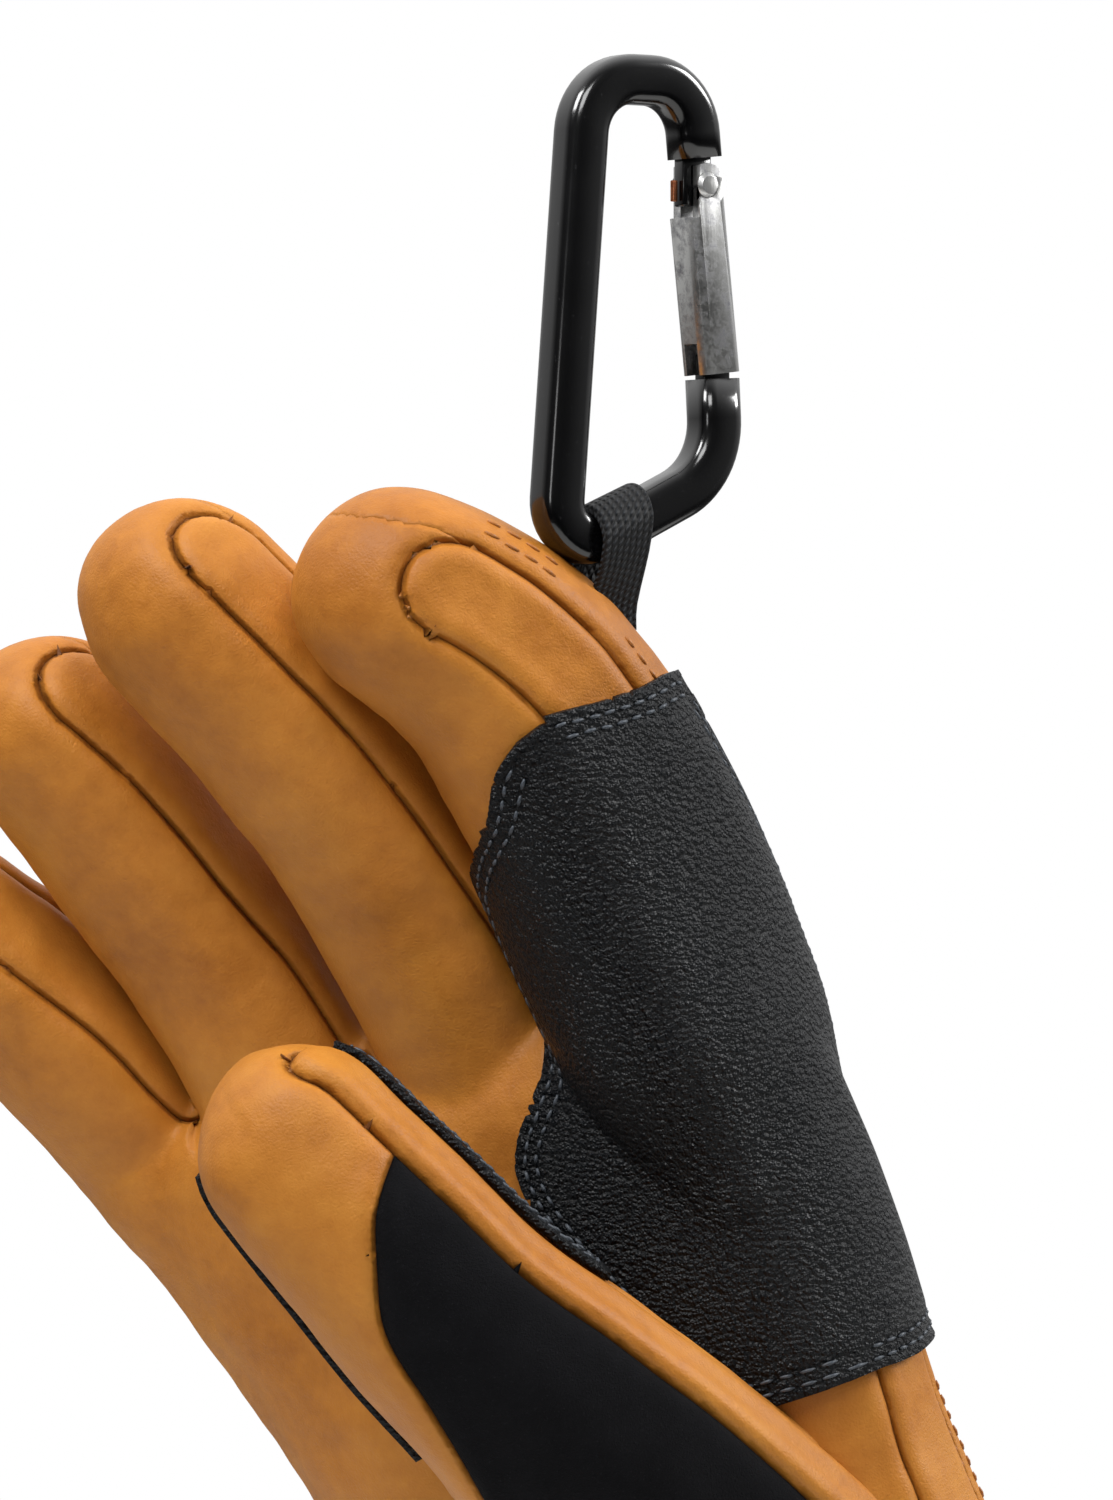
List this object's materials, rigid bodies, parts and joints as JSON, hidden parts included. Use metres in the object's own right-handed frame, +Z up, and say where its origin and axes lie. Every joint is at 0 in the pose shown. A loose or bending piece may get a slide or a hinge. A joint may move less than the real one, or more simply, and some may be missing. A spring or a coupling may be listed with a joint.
{
  "type": "snowboard glove with carabiner",
  "caption": "Insulated leather snowboard glove, right hand, curled fingers, black palm patch and suede thumb wipe, hanging from a carabiner by a webbing loop.",
  "frame": {"origin": "inside the top bow of the carabiner, where the cord bears that it hangs on", "axes": "+Z up, -Y towards the viewer who sees the palm, +X towards the thumb side"},
  "size_m": [0.2247, 0.1216, 0.3495],
  "materials": {
    "tan_leather": "soft semi-matt full grain",
    "black_leather": "pebbled semi-gloss",
    "black_suede": "napped matt",
    "black_webbing": "woven matt",
    "gloss_black": "gloss black anodised",
    "gate_steel": "scratched bright",
    "copper_wire": "bright wire"
  },
  "bodies": {
    "glove": {"palm_panel": "tan_leather", "back_panel": "tan_leather", "index_front_panel": "tan_leather", "index_back_panel": "tan_leather", "middle_front_panel": "tan_leather", "middle_back_panel": "tan_leather", "ring_front_panel": "tan_leather", "ring_back_panel": "tan_leather", "little_front_panel": "tan_leather", "little_back_panel": "tan_leather", "index_side_panel": "tan_leather", "wrist_panel": "tan_leather", "fourchette_index_middle": "tan_leather", "fourchette_middle_ring": "tan_leather", "fourchette_ring_little": "tan_leather", "little_side_panel": "tan_leather", "cuff": "tan_leather", "thumb_strip": "tan_leather", "thumb_tip_panel": "tan_leather", "thumb_inner_panel": "tan_leather", "index_patch": "black_leather", "thumb_patch": "black_leather", "nose_wipe": "black_suede", "hang_loop": "black_webbing", "carabiner_body": "gloss_black", "gate_rivet": "gate_steel", "gate_spring": "copper_wire"},
    "gate": {"carabiner_gate": "gate_steel"}
  },
  "joints": [
    {"name": "gate_hinge", "type": "hinge", "parent": "glove", "child": "gate", "pos_m": [0.00885, 0.00619, -0.0126], "axis": [-0.5736, 0.8192, 0], "range_deg": [0, 24], "stiffness_Nm_per_rad": 0.1, "springref_deg": -22.92}
  ]
}
